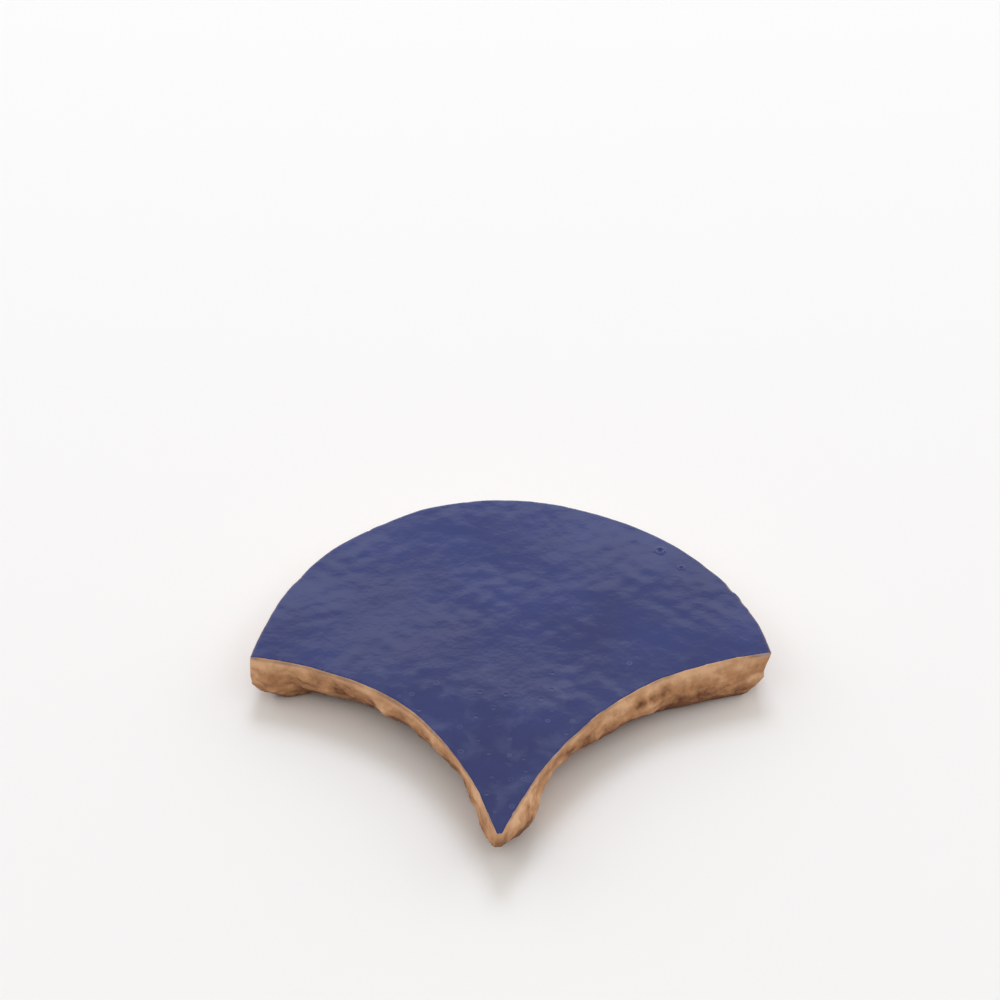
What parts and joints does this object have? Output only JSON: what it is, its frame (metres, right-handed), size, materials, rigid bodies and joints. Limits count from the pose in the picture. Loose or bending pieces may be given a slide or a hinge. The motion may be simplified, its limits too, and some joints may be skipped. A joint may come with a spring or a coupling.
{
  "type": "fish scale tile",
  "caption": "Fish scale wall tile of fired clay with a glazed blue face: round head, hollow flanks, blunt tip, and hand-cut edges trimmed back to a flat bedding face.",
  "frame": {"origin": "centre of the round head's circle, on the flat back that goes into the mortar", "axes": "+Z out of the glazed face, +Y from the tip towards the top of the head, +X to the right corner"},
  "size_m": [0.103, 0.1005, 0.0115],
  "materials": {
    "glazed_terracotta": "gloss"
  },
  "bodies": {
    "root": {"fish_scale_tile": "glazed_terracotta"}
  },
  "joints": []
}
